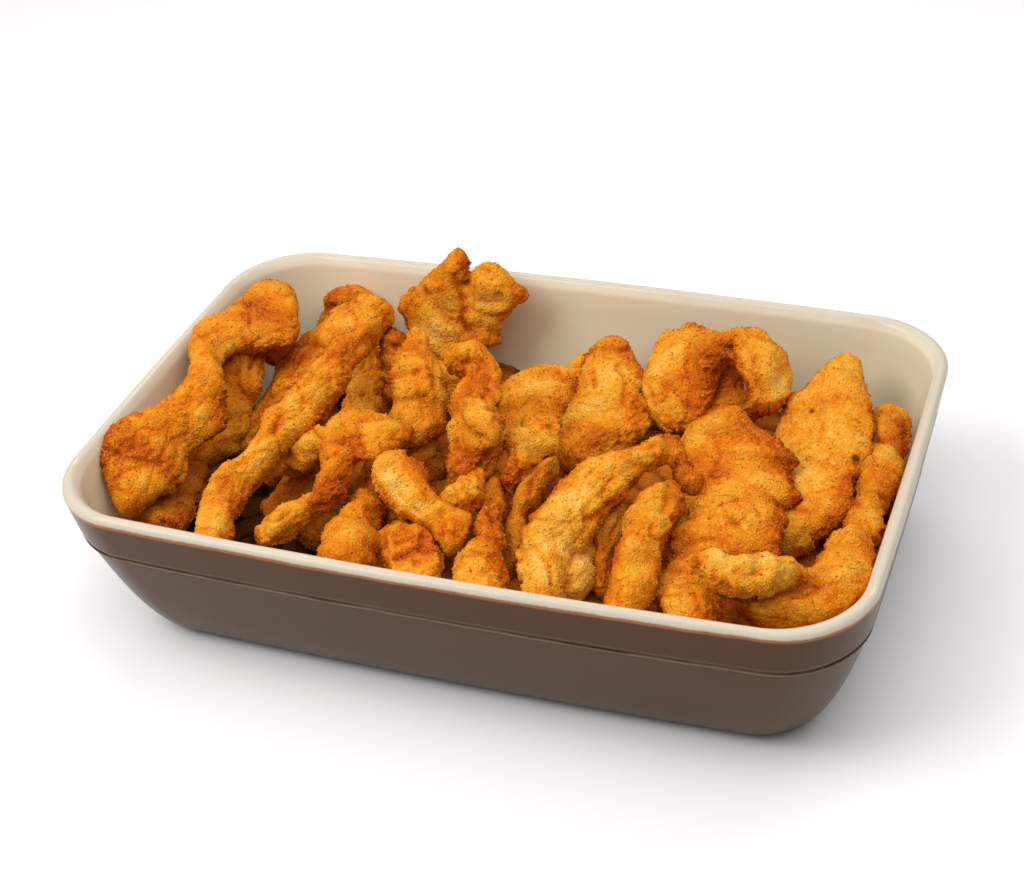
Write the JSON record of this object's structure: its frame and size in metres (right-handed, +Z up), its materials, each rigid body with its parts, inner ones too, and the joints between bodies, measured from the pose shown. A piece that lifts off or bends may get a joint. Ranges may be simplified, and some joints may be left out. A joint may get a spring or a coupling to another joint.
{
  "type": "dish of fried breaded chicken",
  "caption": "Heap of fried breaded chicken strips and cutlets in a rectangular stoneware baking dish, cream glaze inside and brown outside, for a table or kitchen scene.",
  "frame": {"origin": "centre of the dish's flat base, on the surface it stands on", "axes": "+X along the dish's long side, +Y along its short side towards the far side, +Z up"},
  "size_m": [0.3312, 0.2166, 0.0945],
  "materials": {
    "golden_crust": "rough, a little oily",
    "stoneware_glaze": "glossy glaze, cream inside and taupe brown outside"
  },
  "bodies": {
    "root": {"dish": "stoneware_glaze", "lower_layer": "golden_crust", "arched_fillet": "golden_crust", "back_fan": "golden_crust", "back_left_nub": "golden_crust", "back_mid_strip": "golden_crust", "back_sliver": "golden_crust", "big_plate": "golden_crust", "centre_curl": "golden_crust", "centre_strip": "golden_crust", "far_right_lower": "golden_crust", "far_right_upper": "golden_crust", "fillet_under": "golden_crust", "forked_strip": "golden_crust", "forked_under": "golden_crust", "front_bar": "golden_crust", "front_fillet": "golden_crust", "front_left_under": "golden_crust", "front_low": "golden_crust", "left_fold": "golden_crust", "left_twist": "golden_crust", "left_under": "golden_crust", "long_back": "golden_crust", "long_front": "golden_crust", "long_right": "golden_crust", "low_back_nub": "golden_crust", "low_left_drum": "golden_crust", "low_mid": "golden_crust", "low_right_nub": "golden_crust", "mid_back": "golden_crust", "mid_front_fold": "golden_crust", "mid_strip": "golden_crust", "middle_under": "golden_crust", "nugget": "golden_crust", "pale_hook": "golden_crust", "plate_low": "golden_crust", "plate_mid": "golden_crust", "red_tip": "golden_crust", "right_under": "golden_crust", "strip_under_fold": "golden_crust", "tall_mid": "golden_crust", "top_finger": "golden_crust", "under_arch": "golden_crust"}
  },
  "joints": []
}
